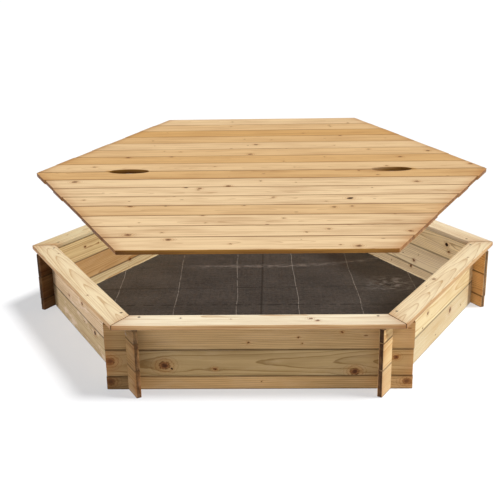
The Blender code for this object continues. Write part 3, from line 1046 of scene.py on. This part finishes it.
def build_cover_plank(chance, half_name, turn, number):
    is_back = half_name == "back"
    sign = 1.0 if is_back else -1.0
    name = f"cover_{half_name}_plank_{number}"
    is_first = number == 1
    is_last = number == COVER_PLANKS
    low, high = closed_box(name)
    inner, outer = reach_in_y(low, high)
    if not is_last:
        outer -= TONGUE_LENGTH
    middle = 0.5 * (inner + outer)
    near = inner - middle
    far = outer - middle
    end = COVER_RADIUS - middle * COT60
    seed = new_seed(chance)
    left = end - chance.choice(COVER_END_CUTS)
    right = end - chance.choice(COVER_END_CUTS)
    stations = end_stations(-left, near, far, COT60, COVER_END_ROUND, -1)
    for edge_x in cover_places(is_first, end):
        start = max(near, slot_depth(edge_x) - middle) if is_first else near
        x = edge_x / (1.0 - COT60 * start / end)
        stations.append(Station(x, start, far, -COT60 * x / end))
    stations += end_stations(right, near, far, -COT60, COVER_END_ROUND, 1)

    def cover_stain_and_shade(x, y, z):
        """Painted shade inside the hand slots, darker towards the bottom; brown along the back edge, and
        along the front edge with painted shade that darkens it towards the left.
        """
        # The front edge: brown, with painted shade darker towards the left; the back edge brown.
        if is_last and y > far - 0.3 * COVER_EDGE_ROUND:
            to_right = 0.5 + 0.5 * sign * x / end
            return 0.5 if is_back else 1.16 - 0.50 * to_right
        edge_x = x * (1.0 - COT60 * y / end)
        deep = slot_depth(edge_x)
        if not is_first or deep <= 0.002 or y >= deep - middle + 0.0012:
            return 0.0
        # The slot's wall: painted shade, darker towards the bottom.
        below = 0.5 - z / COVER_THICKNESS
        along = sign * edge_x
        if along < 0:
            return 0.62 + 0.9 * below
        return 0.32 + 0.6 * below + 0.45 * (along - SLOT_X) / SLOT_HALF_LENGTH

    section = cover_section(is_first, is_last, 0.72 if is_back else 1.0)
    # End faces: end grain, with painted shade that makes the left ends darker than the right ones.
    mesh = board_mesh(name + "_board", stations, section, UNEVENNESS["cover"], seed, cover_stain_and_shade,
                      (0.84, 0.45) if is_back else (0.45, 0.84), 0.020)
    place = OPEN_COVER @ spin(turn) @ move(0.0, middle, 0.5 * (low.z + high.z))
    piece = finish_piece(mesh, COVER_PINE, place, f"cover_{half_name}", name)
    knots = []
    for x, share, size in COVER_KNOTS.get((half_name, number), ()):
        knots.append((sign * x, near + share * (far - near), 0.88 * size))
    spare = min(2, KNOTS_PER_BOARD - 1 - len(knots))
    knots += random_knots(chance, 0.8 * end, 0.35 * (far - near), spare, 0.002, 0.004)
    pale = blend(CREAM, AMBER, COVER_TONES[half_name][number - 1])
    deep_colour = blend(pale, PINE_BROWN, 0.54 if is_back else 0.72)
    dress(piece, seed, pale, deep_colour, random_pith(chance, far - near), knots)


def build_cover():
    chance = random.Random(37)
    for half_name, turn in COVER_HALVES:
        for number in range(1, COVER_PLANKS + 1):
            build_cover_plank(chance, half_name, turn, number)


# ---------------- screws

SCREW_POINTS = 32
SCREW_THREAD = 0.0018       # from one turn of the thread to the next
SCREW_SMOOTH_ANGLE = 30.0


def random_turn(chance):
    return Matrix.Rotation(chance.uniform(0, 3), 4, "Z")


def screw_mesh(name, head_radius, length, shank_radius):
    """A countersunk screw with its head's top at z = 0: head, cross recess, thread and point."""
    recess = 0.55 * head_radius
    slot = 0.16 * head_radius
    profile = [(0.0, -0.0011), (0.45 * recess, -0.0010), (recess, 0.0), (0.93 * head_radius, 0.0),
               (head_radius, -0.0002), (head_radius, -0.0005), (shank_radius, -0.0030)]
    z = -0.0040
    while z > -length + 3 * SCREW_THREAD:
        profile += [(0.72 * shank_radius, z), (shank_radius, z - 0.5 * SCREW_THREAD)]
        z -= SCREW_THREAD
    profile += [(0.7 * shank_radius, z), (0.0, -length)]
    bm = bmesh.new()
    rings = []
    for radius, height in profile:
        ring = []
        for x, y in circle(SCREW_POINTS, radius):
            is_rim = 0 < radius <= recess and min(abs(x), abs(y)) > slot
            ring.append(bm.verts.new((x, y, -0.0001 if is_rim else height)))
        rings.append(ring)
    bridge(bm, rings)
    bmesh.ops.remove_doubles(bm, verts=bm.verts, dist=1e-6)
    bmesh.ops.recalc_face_normals(bm, faces=bm.faces)
    mesh = to_mesh(bm, name)
    store_places(mesh)
    return mesh


def build_seat_screws():
    chance = random.Random(71)
    for side in WALLS:
        for end in ("left", "right"):
            name = f"seat_screw_{side}_{end}"
            low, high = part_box(name)
            head = 0.5 * (high.x - low.x)
            middle = 0.5 * (low + high)
            mesh = screw_mesh(name + "_steel", head, high.z - low.z, 0.55 * head)
            place = move(middle.x, middle.y, high.z) @ random_turn(chance)
            finish_piece(mesh, SCREW_STEEL, place, "sandbox", name, SCREW_SMOOTH_ANGLE)


# ---------------- battens

BATTEN_WIDTH = 0.058
BATTEN_ROUND = 0.0015
BATTEN_ROUNDS = ((0.003, 0.3), (0.003, 0.3), (0.001, 0.3), (0.001, 0.3))
BATTEN_SCREW_HEAD = 0.0035
BATTEN_SCREW_LENGTH = 0.028
BATTEN_SCREW_SHANK = 0.0018
SCREW_MARGIN = 0.012        # how far a screw stays from a batten's ends


class Batten:
    """How a batten lies under its half of the cover, before that half is turned into place."""

    def __init__(self, half_name, side):
        self.low, self.high = closed_box(f"cover_{half_name}_batten_{side}")
        self.start, self.stop = reach_in_y(self.low, self.high)
        on_plus_x = (side == "right") == (half_name == "back")
        self.sign = 0 if side == "centre" else 1 if on_plus_x else -1
        farthest = max(abs(self.low.x), abs(self.high.x))
        self.first_x = farthest - 0.5 * BATTEN_WIDTH / SIN60

    def x(self, y):
        """Where the batten's middle line is at y."""
        return self.sign * (self.first_x - (y - self.start) * COT60)


def build_batten(chance, half_name, turn, side):
    batten = Batten(half_name, side)
    name = f"cover_{half_name}_batten_{side}"
    seed = new_seed(chance)
    half = 0.5 * BATTEN_WIDTH
    reach = 0.5 * (batten.stop - batten.start) / (SIN60 if batten.sign else 1.0)
    lean = batten.sign * COT60
    stations = plain_stations(reach, half, lean, lean, BATTEN_ROUND, 0.006, 0.025)
    section = plank_section(batten.high.z - batten.low.z, BATTEN_ROUNDS, (7, 3, 7, 3))
    mesh = board_mesh(name + "_board", stations, section, UNEVENNESS["batten"], seed)
    y = 0.5 * (batten.start + batten.stop)
    z = 0.5 * (batten.low.z + batten.high.z)
    place = OPEN_COVER @ spin(turn) @ move(batten.x(y), y, z) @ spin(90 + 30 * batten.sign)
    piece = finish_piece(mesh, BATTEN_PINE, place, f"cover_{half_name}", name)
    knots = random_knots(chance, 0.8 * reach, 0.7 * half, 2, 0.004, 0.008)
    pale = blend(CREAM, AMBER, chance.uniform(0.2, 0.6))
    dress(piece, seed, pale, blend(pale, PINE_BROWN, 0.6), random_pith(chance, BATTEN_WIDTH), knots)


def build_batten_screws(chance, half_name, turn, side):
    """Two screws through a batten into every plank, heads just under the batten's face."""
    batten = Batten(half_name, side)
    body = f"cover_{half_name}"
    bm = bmesh.new()
    for number in range(1, COVER_PLANKS + 1):
        inner, outer = reach_in_y(*closed_box(f"{body}_plank_{number}"))
        if number == 1:
            inner = 0.0
        for share in (0.30, 0.70):
            y = inner + share * (outer - inner)
            if not batten.start + SCREW_MARGIN < y < batten.stop - SCREW_MARGIN:
                continue
            one = screw_mesh("batten_screw", BATTEN_SCREW_HEAD, BATTEN_SCREW_LENGTH,
                             BATTEN_SCREW_SHANK)
            one.transform(move(batten.x(y), y, batten.low.z - 0.0001) @ spin(180, "X")
                          @ random_turn(chance))
            bm.from_mesh(one)
            bpy.data.meshes.remove(one)
    mesh = to_mesh(bm, f"{body}_batten_screws_{side}")
    store_places(mesh)
    finish_piece(mesh, SCREW_STEEL, OPEN_COVER @ spin(turn), body, None, SCREW_SMOOTH_ANGLE)


def build_battens():
    for build, seed in ((build_batten, 53), (build_batten_screws, 59)):
        chance = random.Random(seed)
        for half_name, turn in COVER_HALVES:
            for side in BATTENS:
                build(chance, half_name, turn, side)


# ---------------- ground liner

LINER_COLUMNS = 120
LINER_ROWS = 104
LINER_LIFT = 0.0010
CLOTH_THICKNESS = 0.0005


def ridge(distance, width):
    return math.exp(-(distance / width) ** 2)


def liner_height(x, y, from_edge):
    """How high the cloth lies: gentle waves, pressed folds, and edges that turn up at the walls."""
    wave = 0.5 + 0.5 * noise.noise(Vector((x * 3.1, y * 3.7, 2.0)))
    ripple = noise.noise(Vector((x * 13.0, y * 11.0, 7.0)))
    crease = x - 0.004 * noise.noise(Vector((y * 4.0, 1.0, 3.0)))
    across = y - PALE_FOLD_Y - PALE_FOLD_BOW * max(x, 0.0) ** 2
    faint = y - FAINT_FOLD_Y - FAINT_FOLD_SLOPE * x
    turn_up = 0.5 + 0.5 * noise.noise(Vector((x * 5.0, y * 5.0, 11.0)))
    return (LINER_LIFT + 0.0022 * wave * wave + 0.0003 * ripple + 0.0022 * ridge(crease, 0.010)
            + 0.0018 * ridge(across, 0.009) + 0.0010 * ridge(faint, 0.008)
            + (0.002 + 0.007 * turn_up) * math.exp(-from_edge / 0.014))


def build_liner():
    half = LINER_RADIUS * SIN60
    bm = bmesh.new()
    spots = []
    rows = []
    for j in range(LINER_ROWS + 1):
        y = half * (2 * j / LINER_ROWS - 1)
        reach = LINER_RADIUS - abs(y) * COT60
        row = []
        for i in range(LINER_COLUMNS + 1):
            x = reach * (2 * i / LINER_COLUMNS - 1)
            from_edge = min(half - abs(y), (reach - abs(x)) * SIN60)
            row.append(bm.verts.new((x, y, liner_height(x, y, from_edge))))
            spots.append((x, y, from_edge))
        rows.append(row)
    for first, second in zip(rows, rows[1:]):
        for i in range(LINER_COLUMNS):
            bm.faces.new((first[i], first[i + 1], second[i + 1], second[i]))
    mesh = to_mesh(bm, "ground_cloth")
    store(mesh, "weave", spots)
    cloth = finish_piece(mesh, WOVEN_SHEET, Matrix.Identity(4), "sandbox", "ground_liner")
    thicken = cloth.modifiers.new("thickness", "SOLIDIFY")
    thicken.thickness = CLOTH_THICKNESS
    thicken.offset = -1.0


# ---------------- stage

FLOOR_HALF_WIDTH = 60.0
FLOOR_Z = -0.0006
FLOOR_GREY = (0.56, 0.56, 0.564)
WORLD_LIGHT = 0.10


def build_stage():
    bm = bmesh.new()
    bmesh.ops.create_grid(bm, x_segments=2, y_segments=2, size=FLOOR_HALF_WIDTH)
    floor = add_object("floor", to_mesh(bm, "floor"))
    floor.location.z = FLOOR_Z
    material, g, shader = new_material("floor_white")
    g.feed(shader, {"Base Color": FLOOR_GREY, "Roughness": 0.9, "Specular IOR Level": 0.0})
    floor.data.materials.append(material)

    world = bpy.data.worlds.new("studio")
    world.use_nodes = True
    background = world.node_tree.nodes["Background"]
    background.inputs["Color"].default_value = (*WHITE, 1.0)
    background.inputs["Strength"].default_value = WORLD_LIGHT
    bpy.context.scene.world = world
    return floor


def add_sun(name, azimuth, elevation, strength, softness, colour, lit, shading):
    """A soft, distant lamp; azimuth counts from the front (-Y) towards the right (+X).

    It lights only the objects in lit, and only those in shading cast its shadows.
    """
    lamp = bpy.data.lights.new(name, "SUN")
    lamp.energy = math.pi * strength
    lamp.angle = math.radians(softness)
    lamp.color = colour
    item = add_object(name, lamp)
    item.matrix_world = spin(azimuth) @ spin(90 - elevation, "X")
    item.light_linking.receiver_collection = group_of(name + "_lit", lit)
    item.light_linking.blocker_collection = group_of(name + "_shading", shading)


def group_of(name, objects):
    made = bpy.data.collections.new(name)
    for item in objects:
        made.objects.link(item)
    return made


def build_lights(floor):
    """Strong light from the right, less from the left, a little from above.

    As in the photo, where box and cover were lit one by one, only the box casts shadows of the
    main lamps.  The floor has lamps of its own: one throws the box's shadow to the left, and one
    without shadows keeps the floor white.
    """
    shown = [item for item in bpy.data.objects if item.type == "MESH" and not item.hide_render]
    pieces = [item for item in shown if item != floor]
    box_pieces = [item for item in pieces if item.name.startswith(("wall_", "seat_"))]
    add_sun("key", 75, 40, 0.92, 14, (0.985, 0.985, 0.95), pieces, box_pieces)
    add_sun("left", -72, 30, 0.46, 40, WHITE, pieces, box_pieces)
    add_sun("top", 0, 88, 0.18, 60, WHITE, pieces, pieces)
    add_sun("floor_key", 91, 62, 0.92, 16, WHITE, [floor], box_pieces + [floor])
    add_sun("floor_light", 0, 90, 0.98, 5, (0.955, 0.975, 1.0), [floor], [floor])


CAMERA_PLACE = (0.0498, -3.0811, 1.2750)
CAMERA_TURN = 1.711         # degrees to the left
CAMERA_DOWN = 18.942        # degrees below the horizon
CAMERA_ROLL = -1.004


def build_camera():
    """Three metres away in front, a little right of the middle, looking down at 19 degrees."""
    data = bpy.data.cameras.new("camera")
    data.lens = 60.92
    data.sensor_width = 36.0
    data.clip_end = 200.0
    camera = add_object("camera", data)
    camera.matrix_world = (move(*CAMERA_PLACE) @ spin(CAMERA_TURN) @ spin(90.0 - CAMERA_DOWN, "X")
                           @ spin(CAMERA_ROLL))
    bpy.context.scene.camera = camera


build_camera()
build_walls()
build_seat()
build_cover()
build_battens()
build_liner()
build_seat_screws()
build_lights(build_stage())
bpy.context.scene.view_settings.view_transform = "Standard"
